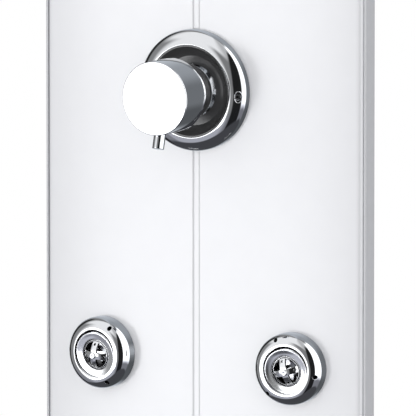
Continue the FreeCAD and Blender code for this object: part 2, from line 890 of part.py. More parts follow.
def jet_bezel(side):
    """The chrome ring: quarter round in front, a ball seat inside, and three holes for a spanner."""
    inner = nozzle_ball_r + seat_gap
    mouth = nozzle_centre + math.sqrt(inner**2 - eye_opening_r**2)
    thread_top = cup_front + shoulder_gap
    thread_r = cup_r + thread_gap
    skirt_r = bezel_r - bezel_skirt_wall

    def seat_radius(w):
        return math.sqrt(inner**2 - (w - nozzle_centre) ** 2)

    middle = (mouth + thread_top) / 2
    shell = turned(
        (eye_opening_r, mouth),
        (eye_opening_r, bezel_height - edge_break),
        (eye_opening_r + edge_break, bezel_height),
        *quarter_round(bezel_r, bezel_height, bezel_round),
        (bezel_r, -bezel_skirt),
        (skirt_r, -bezel_skirt),
        (skirt_r, bezel_shoulder),
        (thread_r, bezel_shoulder),
        (thread_r, thread_top),
        (seat_radius(thread_top), thread_top),
        ((seat_radius(middle), middle), (eye_opening_r, mouth)),
    )
    for i in range(3):
        a = math.radians(spanner_turn[side] + 120 * i)
        at = (spanner_circle * math.cos(a), spanner_circle * math.sin(a))
        shell = shell.cut(bar(spanner_hole_r, (*at, spanner_floor), (*at, bezel_height)))
    return put(shell, jets[side]).cut(under_front(face_gap))


def jet_body(side):
    """A cup behind the panel, with a tail and a barbed spigot up the column."""
    frame = jets[side]
    tail_w = -jet_tail_back(frame)
    bore_back = tail_w - hose_bore_r - jet_tail_floor
    shoulder = jet_tail_r + jet_spigot_reach
    barb_r = hose_bore_r - key_gap
    body = rod(cup_r, cup_floor - cup_floor_wall, cup_front)
    body = body.fuse(rod(jet_tail_r, bore_back - cup_floor_wall + through, cup_floor))
    body = body.fuse(bar(hose_r, (0, 0, tail_w), (0, shoulder, tail_w)))
    body = body.fuse(bar(barb_r, (0, 0, tail_w), (0, shoulder + barb_length, tail_w)))
    body = body.cut(rod(cup_bore_r, cup_floor, cup_front + through))
    body = body.cut(rod(jet_tail_r - jet_tail_wall, bore_back, cup_floor + through))
    body = body.cut(bar(hose_bore_r - barb_wall, (0, 0, tail_w), (0, shoulder + barb_length + through, tail_w)))
    return put(body.removeSplitter(), frame)


def jet_nut(side):
    front = -panel_wall - jet_washer_wall
    back = front - jet_nut_wall
    nut = hexagon(jet_nut_across, back, front).common(rod(jet_nut_corner_r, back, front))
    return put(nut.cut(rod(cup_r + thread_gap, back - through, front + through)), jets[side])


def jet_back_washer(side):
    back = -panel_wall - jet_washer_wall
    washer = put(ring(cup_r + jet_washer_width, cup_r + seat_gap, back, back + bezel_skirt), jets[side])
    return washer.common(under_front(-panel_wall - seal_gap))


def jet_front_seal(side):
    skirt_r = bezel_r - bezel_skirt_wall - shoulder_gap
    seal = put(ring(skirt_r, cup_r + seat_gap, -bezel_skirt, bezel_shoulder - key_gap), jets[side])
    return seal.cut(under_front(seal_gap))


def jet_seat_ring(side):
    """The slippery ring under the nozzle's ball; it turns with the ball."""
    seat = ring(cup_bore_r - fit_gap, seat_ring_bore_r, cup_floor, seat_ring_front)
    seat = seat.cut(Part.makeSphere(nozzle_ball_r + fit_gap, V(0, 0, nozzle_centre)))
    return put(seat, jets[side])


def nozzle_local(shape):
    """The nozzle's parts are made about the jet's axis and droop about the ball's centre."""
    return spin(shape, nozzle_droop, V(1, 0, 0), V(0, 0, nozzle_centre))


def jet_nozzle(side):
    """The ball: flat behind, a dish in front, and a cup in the dish for the spray insert."""
    front = nozzle_centre + nozzle_face
    back = nozzle_centre - nozzle_back
    ball = Part.makeSphere(nozzle_ball_r, V(0, 0, nozzle_centre))
    ball = ball.common(rod(nozzle_ball_r + through, back, front))
    dish_r = math.sqrt(nozzle_ball_r**2 - nozzle_face**2) - nozzle_rim
    dish_floor = spray_front + dish_step
    dish = turned(
        (0, dish_floor),
        (spray_cup_r, dish_floor),
        ((spray_cup_r + dish_width, dish_floor + dish_rise), (dish_r, front)),
        (dish_r, front + through),
        (0, front + through),
    )
    ball = ball.cut(dish)
    ball = ball.cut(rod(spray_cup_r, spray_cup_floor, front))
    ball = ball.cut(rod(nozzle_bore_r, back - through, front))
    return put(nozzle_local(ball), jets[side])


def spray_insert(side):
    """A cross with four small holes over dark windows, held in the nozzle's cup."""
    outer = spray_cup_r - key_gap
    plate = rod(outer, spray_cup_floor, spray_front)
    plate = plate.cut(rod(outer - spray_wall, spray_cup_floor + spray_floor_wall, spray_front + through))
    reach = outer - spray_wall / 2
    arms_low = spray_cup_floor + spray_floor_wall / 2
    cross = block(-reach, reach, -arm_half, arm_half, arms_low, spray_front)
    cross = cross.fuse(spin(cross, 90)).common(rod(reach, spray_cup_floor, spray_front))
    hub = rod(hub_r, arms_low, hub_front - hub_r).fuse(Part.makeSphere(hub_r, V(0, 0, hub_front - hub_r)))
    hub = hub.fuse(Part.makeCone(hub_foot_r, hub_r, hub_foot_height, V(0, 0, spray_front)))
    plate = plate.fuse(cross).fuse(hub)
    for i in range(4):
        a = math.radians(90 * i)
        at = (spray_hole_circle * math.cos(a), spray_hole_circle * math.sin(a))
        plate = plate.cut(bar(spray_hole_r, (*at, spray_cup_floor - through), (*at, spray_front + through)))
        a = math.radians(90 * i + 45)
        at = (window_circle * math.cos(a), window_circle * math.sin(a))
        window_front = spray_cup_floor + spray_floor_wall + through
        plate = plate.cut(bar(window_r, (*at, spray_cup_floor - through), (*at, window_front)))
    return put(nozzle_local(spin(plate, spray_turn[side])), jets[side])


# ---------------------------------------------------------------- hoses
def tee_frame_point():
    return V(0, waterway_y, mixer_z - tee_drop)


def outlet_tee():
    c = tee_frame_point()
    boss_low = mixer_z - outlet_boss_drop
    reach = tee_half + barb_length
    bore_r = hose_bore_r - barb_wall
    tee = bar(spigot_r - tail_gap, (0, c.y, boss_low + tee_spigot_length), (0, c.y, boss_low))
    tee = tee.fuse(bar(tee_collar_r, (0, c.y, boss_low), (0, c.y, boss_low - tee_collar_height)))
    tee = tee.fuse(bar(tee_r, (0, c.y, boss_low), (0, c.y, c.z)))
    tee = tee.fuse(bar(tee_r, (-tee_half, c.y, c.z), (tee_half, c.y, c.z)))
    tee = tee.fuse(bar(hose_bore_r - key_gap, (-reach, c.y, c.z), (reach, c.y, c.z)))
    tee = tee.cut(bar(bore_r, (-reach - through, c.y, c.z), (reach + through, c.y, c.z)))
    tee = tee.cut(bar(bore_r, (0, c.y, c.z), (0, c.y, boss_low + tee_spigot_length + through)))
    return tee.removeSplitter()


def jet_spigot():
    """Where the right jet's spigot stands: its axis and the level of its shoulder."""
    frame = jets["right"]
    return frame.multVec(V(0, jet_tail_r + jet_spigot_reach, -jet_tail_back(frame)))


def hose_path():
    """Right-hand hose: out of the tee, one wide quarter turn, straight down on the jet's spigot."""
    c = tee_frame_point()
    foot = jet_spigot()
    level = c.z
    start = V(tee_half + shoulder_gap, c.y, level)
    bend_start = V(tee_half + barb_length + barb_run, c.y, level)
    bend = foot.x - bend_start.x
    bend_end = V(foot.x, c.y, level - bend)
    half = bend * math.sqrt(0.5)
    middle = V(bend_start.x + half, c.y, level - bend + half)
    end = V(foot.x, c.y, foot.z + shoulder_gap)
    edges = [
        Part.LineSegment(start, bend_start).toShape(),
        Part.Arc(bend_start, middle, bend_end).toShape(),
        Part.LineSegment(bend_end, end).toShape(),
    ]
    return Part.Wire(edges), start, end, bend


def jet_hose():
    path, start, end, bend = hose_path()

    def tube(r):
        section = Part.Wire(Part.makeCircle(r, start, V(1, 0, 0)))
        return path.makePipeShell([section], True, False)

    hose = tube(hose_r).cut(tube(hose_bore_r))
    section_area = math.pi * (hose_r**2 - hose_bore_r**2)
    full = hose.Volume / (section_area * path.Length)
    print("hose length %.1f bend radius %.1f volume ratio %.4f" % (path.Length, bend, full))
    return hose


def hose_ferrules():
    path, start, end, bend = hose_path()
    crimp = ring(hose_r + ferrule_wall, hose_r + seal_gap, seat_gap, seat_gap + ferrule_length)
    first = spin(crimp, 90, V(0, 1, 0))
    first.translate(start)
    last = crimp.copy()
    last.translate(end)
    return [first, last, mirrored(first), mirrored(last)]


# ---------------------------------------------------------------- all pieces
def build():
    os.makedirs("parts", exist_ok=True)
    save("front_panel", front_panel())
    rail = side_rail()
    save("side_rail_right", rail)
    save("side_rail_left", mirrored(rail))
    cap = end_cap()
    save("top_cap", cap)
    save("bottom_cap", cap.mirror(V(0, 0, 0), V(0, 0, 1)))
    screws = cap_screws()
    save("cap_screws", *screws, *[s.mirror(V(0, 0, 0), V(0, 0, 1)) for s in screws])
    save("panel_screws", *panel_screws())
    for level, z in bracket_levels().items():
        save("wall_bracket_" + level, wall_bracket(z))
        save("hanging_plate_" + level, hanging_plate(z))
    save("plate_screws", *plate_screws())

    save("mixer_body", put(mixer_body(), mixer))
    save("hot_inlet_tail", put(inlet_tail(-1), mixer))
    save("cold_inlet_tail", put(inlet_tail(1), mixer))
    save("check_valves", put(check_valve(-1), mixer), put(check_valve(1), mixer))
    save("clamp_sleeve", put(clamp_sleeve(), mixer))
    save("escutcheon", escutcheon())
    save("escutcheon_screw", put(escutcheon_screw(), mixer))
    save("mixer_front_gasket", front_gasket())
    save("mixer_back_gasket", back_gasket())
    save("cartridge_body", put(cartridge_body(), mixer))
    save("cartridge_nut", put(cartridge_nut(), mixer))
    save("cartridge_retainer", put(cartridge_retainer(), mixer))
    save("fixed_disc", put(fixed_disc(), mixer))

    save("moving_disc", put(moving_disc(), mixer))
    save("stem_carrier", put(stem_carrier(), mixer))
    save("pivot_pin", put(pivot_pin(), mixer))
    save("lever_stem", put(lever_stem(), mixer))
    save("knob_ball", put(knob_ball(), mixer))
    save("knob", put(knob(), mixer))
    save("lever_pin", put(lever_pin(), mixer))
    save("knob_screw", put(knob_screw(), mixer))

    for side in jets:
        save("jet_bezel_" + side, jet_bezel(side))
        save("jet_body_" + side, jet_body(side))
        save("jet_nut_" + side, jet_nut(side))
        save("jet_back_washer_" + side, jet_back_washer(side))
        save("jet_front_seal_" + side, jet_front_seal(side))
        save("jet_seat_ring_" + side, jet_seat_ring(side))
        save("jet_nozzle_" + side, jet_nozzle(side))
        save("spray_insert_" + side, spray_insert(side))

    save("outlet_tee", outlet_tee())
    hose = jet_hose()
    save("jet_hose_right", hose)
    save("jet_hose_left", mirrored(hose))
    save("hose_ferrules", *hose_ferrules())

    print(len(written), "nodes", written)
    for name, frame in [("mixer", mixer), *jets.items()]:
        centre = pivot_height if name == "mixer" else nozzle_centre
        print(name, "surface", frame.Base, "turning centre", frame.multVec(V(0, 0, centre)))


build()
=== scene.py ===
import json
import math

import bmesh
import bpy
from mathutils import Matrix, Vector


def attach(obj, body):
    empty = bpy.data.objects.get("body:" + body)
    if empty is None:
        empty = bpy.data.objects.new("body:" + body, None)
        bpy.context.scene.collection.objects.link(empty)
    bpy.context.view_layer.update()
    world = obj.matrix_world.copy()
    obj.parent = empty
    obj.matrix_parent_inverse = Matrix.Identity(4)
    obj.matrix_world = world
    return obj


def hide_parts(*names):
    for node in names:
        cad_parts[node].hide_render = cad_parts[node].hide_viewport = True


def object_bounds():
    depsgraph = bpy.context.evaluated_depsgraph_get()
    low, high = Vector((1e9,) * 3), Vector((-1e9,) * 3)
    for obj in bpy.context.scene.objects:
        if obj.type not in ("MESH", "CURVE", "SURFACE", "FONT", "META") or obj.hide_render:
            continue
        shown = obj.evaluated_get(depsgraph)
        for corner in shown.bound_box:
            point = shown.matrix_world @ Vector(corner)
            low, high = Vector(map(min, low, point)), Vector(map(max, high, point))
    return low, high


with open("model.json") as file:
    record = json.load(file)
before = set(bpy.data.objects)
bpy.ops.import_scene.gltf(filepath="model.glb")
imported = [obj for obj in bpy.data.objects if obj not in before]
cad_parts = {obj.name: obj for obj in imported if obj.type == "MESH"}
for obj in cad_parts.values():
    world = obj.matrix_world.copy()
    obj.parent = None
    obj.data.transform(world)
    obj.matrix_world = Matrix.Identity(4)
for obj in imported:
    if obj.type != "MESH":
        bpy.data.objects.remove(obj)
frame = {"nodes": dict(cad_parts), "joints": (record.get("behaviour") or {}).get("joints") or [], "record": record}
cad_low, cad_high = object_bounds()

# A white shower column on a wall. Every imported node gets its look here, and the front cover, the
# mixer's flange, the nozzles and their spray inserts get a mesh of their own.
MM = 0.001
TO_METRES = Matrix.Scale(MM, 4)
TO_MM = Matrix.Scale(1 / MM, 4)

# ---------------------------------------------------------------- places, from the frame
JOINTS = {joint["name"]: joint for joint in frame["joints"]}
PIVOT_HEIGHT = 18 * MM  # the knob's pivot stands this far out of the panel
NOZZLE_CENTRE = 4.2 * MM  # and the middle of each nozzle's ball this far
SIDES = ("left", "right")


def fitting_matrix(joint_name, height):
    """The frame of a fitting: x across, y up, z out of the panel, from the panel's surface.

    The joint's axis points out of the panel, and its place stands at this height over the surface.
    """
    joint = JOINTS[joint_name]
    out = Vector(joint["axis"]).normalized()
    up = Vector((0, 0, 1))
    across = up.cross(out).normalized()
    at = Vector(joint["pos_m"]) - out * height
    rotation = Matrix((across, up, out)).transposed()
    return Matrix.Translation(at) @ rotation.to_4x4()


MIXER = fitting_matrix("mixer_turn", PIVOT_HEIGHT)
JETS = {side: fitting_matrix("jet_turn_" + side, NOZZLE_CENTRE) for side in SIDES}

# the front panel's section, in millimetres: a crowned arc between two long edges
PANEL_HALF = 122.4
CROWN_Y = -54.0
EDGE_Y = -44.0
CROWN = EDGE_Y - CROWN_Y
ARC_R = (PANEL_HALF**2 + CROWN**2) / (2 * CROWN)
ARC_Y = CROWN_Y + ARC_R
FACE_GAP = 0.25  # rims stand this far off the curved panel


def arc_point(x, offset=0.0):
    """The (x, y) point of the crowned arc, or of one that lies so far outside it."""
    return (x, ARC_Y - math.sqrt((ARC_R + offset) ** 2 - x**2))


def surface_w(u):
    """Height of the panel's surface beside a fitting, in the fitting's frame."""
    return math.sqrt(ARC_R**2 - u**2) - ARC_R


# ---------------------------------------------------------------- node helpers
class Graph:
    """A node tree with short calls for the few nodes that the materials and the studio use."""

    def __init__(self, tree):
        self.tree = tree
        tree.nodes.clear()

    def node(self, kind, **settings):
        node = self.tree.nodes.new(kind)
        for name, value in settings.items():
            setattr(node, name, value)
        return node

    def link(self, source, target):
        self.tree.links.new(source, target)

    def put(self, socket, value):
        """Links the value to the socket if it is a socket too, and sets it if it is a number or a colour."""
        if isinstance(value, bpy.types.NodeSocket):
            self.link(value, socket)
        else:
            socket.default_value = value

    def math(self, operation, a, b=0.0):
        node = self.node("ShaderNodeMath", operation=operation)
        self.put(node.inputs[0], a)
        self.put(node.inputs[1], b)
        return node.outputs[0]

    def product(self, *factors):
        total = factors[0]
        for factor in factors[1:]:
            total = self.math("MULTIPLY", total, factor)
        return total

    def ramp(self, value, low, high, to_low=0.0, to_high=1.0):
        """A smooth step of value from low to high."""
        node = self.node("ShaderNodeMapRange", interpolation_type="SMOOTHSTEP")
        self.put(node.inputs["Value"], value)
        self.put(node.inputs["From Min"], low)
        self.put(node.inputs["From Max"], high)
        self.put(node.inputs["To Min"], to_low)
        self.put(node.inputs["To Max"], to_high)
        return node.outputs["Result"]

    def window(self, value, rise, fall):
        """Zero, then a smooth rise over one span, and a smooth fall over the other."""
        return self.product(self.ramp(value, *rise), self.ramp(value, *fall, 1.0, 0.0))

    def mix(self, factor, a, b):
        """Colour a where the factor is 0, and b where it is 1."""
        node = self.node("ShaderNodeMix", data_type="RGBA")
        self.put(node.inputs[0], factor)
        self.put(node.inputs[6], a)
        self.put(node.inputs[7], b)
        return node.outputs[2]

    def mix_shader(self, factor, a, b):
        """Shader a where the factor is 0, and b where it is 1."""
        node = self.node("ShaderNodeMixShader")
        self.put(node.inputs[0], factor)
        self.link(a, node.inputs[1])
        self.link(b, node.inputs[2])
        return node.outputs[0]

    def noise(self, scale, detail, rough, stretch):
        place = self.node("ShaderNodeTexCoord")
        mapping = self.node("ShaderNodeMapping")
        mapping.inputs["Scale"].default_value = stretch
        self.link(place.outputs["Object"], mapping.inputs["Vector"])
        noise = self.node("ShaderNodeTexNoise")
        noise.inputs["Scale"].default_value = scale
        noise.inputs["Detail"].default_value = detail
        noise.inputs["Roughness"].default_value = rough
        self.link(mapping.outputs["Vector"], noise.inputs["Vector"])
        return noise.outputs["Fac"]

    def bevel(self, radius):
        """A normal that rounds the edges by so many metres."""
        node = self.node("ShaderNodeBevel", samples=6)
        node.inputs["Radius"].default_value = radius
        return node.outputs["Normal"]

    def bump(self, height, distance, normal=None):
        node = self.node("ShaderNodeBump")
        node.inputs["Distance"].default_value = distance
        node.inputs["Strength"].default_value = 1.0
        self.link(height, node.inputs["Height"])
        if normal is not None:
            self.link(normal, node.inputs["Normal"])
        return node.outputs["Normal"]


# ---------------------------------------------------------------- materials
BROAD = 0.07  # the scale of the broad patches, as a share of the fine grain's
NOISE_SPAN = (0.3, 0.7)  # most of the noise lies between these
COAT_ROUGHNESS = 0.30
HOLLOW_SHADE = 0.010  # the grey of the painted shade at the bottom of a hollow
MATERIALS = {}


def grey(value, blue=0.0):
    """A grey; to cool it, blue is taken from its red, and a little less from its green."""
    return (value - blue, value - blue * 0.6, value, 1.0)


def finish(name, base, roughness, spread, tint, grain, bump_size=0.0, metallic=0.0, coat=0.0,
           stretch=(1, 1, 1), worn=0.0, hollow=0.0, open_at=(0.16, 0.50)):
    """A surface whose colour, roughness and relief all vary a little with the same kind of noise.

    grain is the noise's scale and stretch its share of that along each axis. spread is how far the
    roughness strays, tint how far the colour darkens, and bump_size the relief in metres. worn rounds
    the edges by so many metres. hollow paints shade into what lies deep in a hollow of that size: an
    occlusion node darkens the colour from a near-black painted shade to its own colour as the open
    share of its surroundings goes over open_at.
    """
    material = bpy.data.materials.new(name)
    material.use_nodes = True
    g = Graph(material.node_tree)
    shader = g.node("ShaderNodeBsdfPrincipled")
    output = g.node("ShaderNodeOutputMaterial")
    g.link(shader.outputs["BSDF"], output.inputs["Surface"])
    fine = g.noise(grain, detail=4.0, rough=0.6, stretch=stretch)
    broad = g.noise(grain * BROAD, detail=3.0, rough=0.5, stretch=stretch)
    dark = tuple(c * (1 - tint) for c in base[:3]) + (1.0,)
    light = tuple(min(1.0, c * (1 + tint * 0.5)) for c in base[:3]) + (1.0,)
    colour = g.mix(g.ramp(broad, *NOISE_SPAN), dark, light)
    # painted shade: an occlusion node darkens the colour deep in hollows, standing for the shade and dark
    # reflections there
    if hollow:
        shade = g.node("ShaderNodeAmbientOcclusion", samples=8)
        shade.inputs["Distance"].default_value = hollow
        colour = g.mix(g.ramp(shade.outputs["AO"], *open_at), grey(HOLLOW_SHADE), colour)
    g.link(colour, shader.inputs["Base Color"])
    uneven = g.ramp(fine, *NOISE_SPAN, roughness - spread, roughness + spread)
    g.link(uneven, shader.inputs["Roughness"])
    shader.inputs["Metallic"].default_value = metallic
    shader.inputs["Coat Weight"].default_value = coat
    shader.inputs["Coat Roughness"].default_value = COAT_ROUGHNESS
    normal = g.bevel(worn) if worn else None
    if bump_size:
        normal = g.bump(fine, bump_size, normal)
    if normal is not None:
        g.link(normal, shader.inputs["Normal"])
    MATERIALS[name] = material


# chrome: one for the mixer, and one for the jets, both with painted shade in their hollows
finish("chrome", grey(0.66, 0.012), roughness=0.045, spread=0.015, tint=0.02, grain=420.0,
       bump_size=1.5e-6, metallic=1.0, worn=0.2 * MM, hollow=3 * MM, open_at=(0.22, 0.55))
finish("jet_chrome", grey(0.68, 0.012), roughness=0.06, spread=0.02, tint=0.02, grain=300.0,
       bump_size=3e-6, metallic=1.0, worn=0.3 * MM, hollow=8 * MM, open_at=(0.14, 0.40))
# copies of the chrome for single pieces: a brighter one as a painted highlight for the ball behind the knob, a
# brighter and rougher one for the nozzles, and one with stronger painted shade in its hollows for their crosses
finish("painted_bright_chrome", grey(0.92, 0.012), roughness=0.10, spread=0.02, tint=0.02, grain=420.0,
       bump_size=1.5e-6, metallic=1.0, worn=0.2 * MM)
finish("eye_chrome", grey(0.88, 0.012), roughness=0.15, spread=0.03, tint=0.02, grain=300.0,
       bump_size=3e-6, metallic=1.0, worn=0.3 * MM, hollow=8 * MM, open_at=(0.14, 0.40))
finish("spray_chrome", grey(0.74, 0.012), roughness=0.07, spread=0.02, tint=0.02, grain=300.0,
       bump_size=3e-6, metallic=1.0, worn=0.3 * MM, hollow=8 * MM, open_at=(0.36, 0.70))

# the column's white outside
finish("panel_white", grey(0.84, 0.02), roughness=0.16, spread=0.02, tint=0.008, grain=900.0,
       bump_size=2e-6, coat=1.0)
finish("cap_white", grey(0.80, 0.02), roughness=0.20, spread=0.03, tint=0.01, grain=900.0,
       bump_size=3e-6)
# the rails' white is darker than the cover's: painted shade, for side walls that face away from the front lights
finish("rail_white", grey(0.62, 0.02), roughness=0.34, spread=0.05, tint=0.02, grain=2600.0,
       bump_size=20e-6)

# metals inside, the brass and the screws with painted shade in their hollows
finish("valve_brass", (0.62, 0.43, 0.17, 1), roughness=0.38, spread=0.10, tint=0.18, grain=700.0,
       bump_size=50e-6, metallic=1.0, hollow=10 * MM, open_at=(0.46, 0.80))
finish("bracket_steel", grey(0.52, 0.02), roughness=0.36, spread=0.10, tint=0.22, grain=160.0,
       bump_size=10e-6, metallic=1.0, stretch=(1, 1, 0.25))
# the screws: dark steel, kept this dark also as painted shade so the set screw sunk in its hole shows no glint
finish("screw_steel", grey(0.12), roughness=0.40, spread=0.08, tint=0.08, grain=1500.0,
       bump_size=8e-6, metallic=1.0, hollow=4 * MM)

# plastics, ceramic and rubber
finish("sleeve_dark", grey(0.062, 0.001), roughness=0.22, spread=0.02, tint=0.05, grain=300.0)
finish("cartridge_plastic", grey(0.10, 0.006), roughness=0.45, spread=0.08, tint=0.10, grain=1800.0,
       bump_size=20e-6)
finish("slip_ring", (0.78, 0.77, 0.72, 1), roughness=0.38, spread=0.06, tint=0.05, grain=1200.0,
       bump_size=10e-6)
finish("disc_ceramic", (0.86, 0.85, 0.80, 1), roughness=0.12, spread=0.03, tint=0.02, grain=600.0,
       bump_size=2e-6)
finish("seal_rubber", grey(0.022), roughness=0.70, spread=0.10, tint=0.25, grain=2200.0,
       bump_size=30e-6)
finish("hose_plastic", grey(0.60, 0.01), roughness=0.32, spread=0.08, tint=0.06, grain=900.0,
       bump_size=40e-6, stretch=(1, 1, 0.5))

# every node takes its slot's look, but for the two behind the knob, which get the brighter chrome copy, a painted
# highlight, so that they show as bright crescents
SLOTS = {part["node"]: part["material_slot"] for part in frame["record"]["subparts"]}
BRIGHT = {"cartridge_nut": "painted_bright_chrome", "knob_ball": "painted_bright_chrome"}
for node_name, node in frame["nodes"].items():
    for material_slot in node.material_slots:
        material_slot.material = MATERIALS[BRIGHT.get(node_name, SLOTS[node_name])]


# ---------------------------------------------------------------- mesh helpers
SHARP = math.radians(32)  # an edge that turns by more shows as a corner


def arc(centre, radius, start, end, count):
    """Points on an arc of a flat outline; angles in degrees, 0 along its first axis, 90 along its second."""
    angles = [math.radians(start + (end - start) * i / count) for i in range(count + 1)]
    return [(centre[0] + radius * math.cos(a), centre[1] + radius * math.sin(a)) for a in angles]


def lathe(outline, segments):
    """A closed (r, w) outline turned about w; points on the axis become poles."""
    bm = bmesh.new()
    turns = [2 * math.pi * i / segments for i in range(segments)]
    rings = []
    for r, w in outline:
        if r == 0:
            rings.append([bm.verts.new((0, 0, w))])
        else:
            rings.append([bm.verts.new((r * math.cos(t), r * math.sin(t), w)) for t in turns])
    for ring, other in zip(rings, rings[1:] + rings[:1]):
        if len(ring) == 1 and len(other) == 1:
            continue
        for i in range(segments):
            j = (i + 1) % segments
            corners = [ring[i % len(ring)], ring[j % len(ring)], other[j % len(other)], other[i % len(other)]]
            # at a pole two of the corners are one
            bm.faces.new(list(dict.fromkeys(corners)))
    return bm


def rod(r, w0, w1, place, segments=48):
    """A closed cylinder along w, from w0 to w1, in its place."""
    bm = lathe([(0, w0), (r, w0), (r, w1), (0, w1)], segments)
    bmesh.ops.recalc_face_normals(bm, faces=bm.faces)
    bm.transform(place)
    return bm


def prism(section, low_z, high_z):
    """A closed (x, y) section between two heights."""
    bm = bmesh.new()
    low = [bm.verts.new((x, y, low_z)) for x, y in section]
    high = [bm.verts.new((x, y, high_z)) for x, y in section]
    bm.faces.new(low)
    bm.faces.new(high)
    for i in range(len(section)):
        j = (i + 1) % len(section)
        bm.faces.new((low[i], low[j], high[j], high[i]))
    bmesh.ops.recalc_face_normals(bm, faces=bm.faces)
    return bm


def cut_away(bm, cutters):
    """The mesh less some closed cutters, by exact booleans."""
    def as_object(source, name):
        mesh = bpy.data.meshes.new(name)
        source.to_mesh(mesh)
        source.free()
        obj = bpy.data.objects.new(name, mesh)
        bpy.context.scene.collection.objects.link(obj)
        return obj

    target = as_object(bm, "target")
    tools = [as_object(cutter, "tool") for cutter in cutters]
    for tool in tools:
        modifier = target.modifiers.new("cut", "BOOLEAN")
        modifier.operation = "DIFFERENCE"
        modifier.solver = "EXACT"
        modifier.object = tool
    depsgraph = bpy.context.evaluated_depsgraph_get()
    mesh = bpy.data.meshes.new_from_object(target.evaluated_get(depsgraph))
    result = bmesh.new()
    result.from_mesh(mesh)
    bpy.data.meshes.remove(mesh)
    for obj in [target, *tools]:
        data = obj.data
        bpy.data.objects.remove(obj)
        bpy.data.meshes.remove(data)
    return result


def join(bm, other):
    """Adds another mesh to the first as a shell of its own."""
    mesh = bpy.data.meshes.new("joined")
    other.to_mesh(mesh)
    other.free()
    bm.from_mesh(mesh)
    bpy.data.meshes.remove(mesh)


def piece_from(bm, name, node, body, place=Matrix(), material=None):
    """A new piece from a mesh in millimetres, smooth but for its corners, that stands for a node."""
    bm.transform(place @ TO_METRES)
    bmesh.ops.recalc_face_normals(bm, faces=bm.faces)
    for face in bm.faces:
        face.smooth = True
    for edge in bm.edges:
        if len(edge.link_faces) == 2 and edge.calc_face_angle(0.0) > SHARP:
            edge.smooth = False
    mesh = bpy.data.meshes.new(name)
    bm.to_mesh(mesh)
    bm.free()
    obj = bpy.data.objects.new(name, mesh)
    bpy.context.scene.collection.objects.link(obj)
    mesh.materials.append(MATERIALS[material or SLOTS[node]])
    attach(obj, body)
    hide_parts(node)
    return obj


# ---------------------------------------------------------------- cover
COVER_HALF_HEIGHT = 597.0
COVER_WALL = 3.0
COVER_LEG = 5.0  # its sides reach this far behind the arc's edges
EDGE_ROUND = 3.0
GROOVE_HALF = 2.3  # to the middle of the groove's soft side
GROOVE_SOFT = 0.8  # half the width of that side
GROOVE_DEPTH = 0.5
MIXER_HOLE_R = 21.5
JET_HOLE_R = 20.5
HOLE_REACH = 13  # the holes' cutters go this far to both sides of the panel's surface

# bosses for the screws that come through the rails, in columns beside the edges
BOSS_R = 4.0
BOSS_X = PANEL_HALF - 13.0
BOSS_BACK = 33.0  # in front of the wall
BOSS_HOLE_R = 1.4
BOSS_HOLE_END = 41.5  # likewise
BOSS_PITCH = 240.0
BOSS_ROWS = range(-2, 3)  # the middle one is halfway up


def cover_section():
    """The cover's closed (x, y) outline: groove, crowned front, rounded edges, and the hollow behind."""
    right = []
    # the groove's side, an S between its floor and the front
    steps = 14
    for k in range(steps + 1):
        rise = (1 - math.cos(math.pi * k / steps)) / 2
        x = GROOVE_HALF - GROOVE_SOFT + 2 * GROOVE_SOFT * k / steps
        right.append((x, CROWN_Y + GROOVE_DEPTH * (1 - rise)))
    # the round between the arc and the side is tangent to both
    centre_x = PANEL_HALF - EDGE_ROUND
    centre_y = arc_point(centre_x, -EDGE_ROUND)[1]
    lean = math.degrees(math.asin(centre_x / (ARC_R - EDGE_ROUND)))
    touch_x = centre_x * ARC_R / (ARC_R - EDGE_ROUND)
    groove_end = GROOVE_HALF + GROOVE_SOFT
    count = 64
    for k in range(1, count):
        right.append(arc_point(groove_end + (touch_x - groove_end) * k / count))
    right += arc((centre_x, centre_y), EDGE_ROUND, lean - 90, 0, count=12)
    inner_half = PANEL_HALF - COVER_WALL
    right += [(PANEL_HALF, EDGE_Y + COVER_LEG), (inner_half, EDGE_Y + COVER_LEG)]
    for k in range(count + 1):
        right.append(arc_point(inner_half * (1 - k / count), -COVER_WALL))
    return right + [(-x, y) for x, y in reversed(right[:-1])]


def screw_boss(x, z):
    """A boss that starts in the middle of the cover's wall, with a blind hole from behind."""
    front = -arc_point(BOSS_X - BOSS_R, -COVER_WALL / 2)[1]
    outline = [(BOSS_R, BOSS_BACK), (BOSS_R, front), (0, front), (0, BOSS_HOLE_END)]
    outline += [(BOSS_HOLE_R, BOSS_HOLE_END), (BOSS_HOLE_R, BOSS_BACK)]
    boss = lathe(outline, segments=32)
    bmesh.ops.recalc_face_normals(boss, faces=boss.faces)
    boss.transform(Matrix.Translation((x, 0, z)) @ Matrix.Rotation(math.pi / 2, 4, "X"))
    return boss


def front_panel():
    """The white cover: a thin curved sheet with rounded long edges and a shallow groove down its middle."""
    cutters = []
    for place, r in ((MIXER, MIXER_HOLE_R), (JETS["left"], JET_HOLE_R), (JETS["right"], JET_HOLE_R)):
        cutters.append(rod(r, -HOLE_REACH, HOLE_REACH, TO_MM @ place @ TO_METRES, segments=96))
    bm = cut_away(prism(cover_section(), -COVER_HALF_HEIGHT, COVER_HALF_HEIGHT), cutters)
    for side in (-1, 1):
        for row in BOSS_ROWS:
            join(bm, screw_boss(side * BOSS_X, row * BOSS_PITCH))
    cover = piece_from(bm, "cover", "front_panel", "column")
    cover.visible_glossy = False


# ---------------------------------------------------------------- mixer's flange
RIM_R = 41.2
RIM_WALL = 2.2
RIM_BACK = -4.0
FLANGE_BACK = 0.3
INNER_R = 31.4  # it stands 0.1 off the clamp sleeve
INNER_EDGE = 0.3

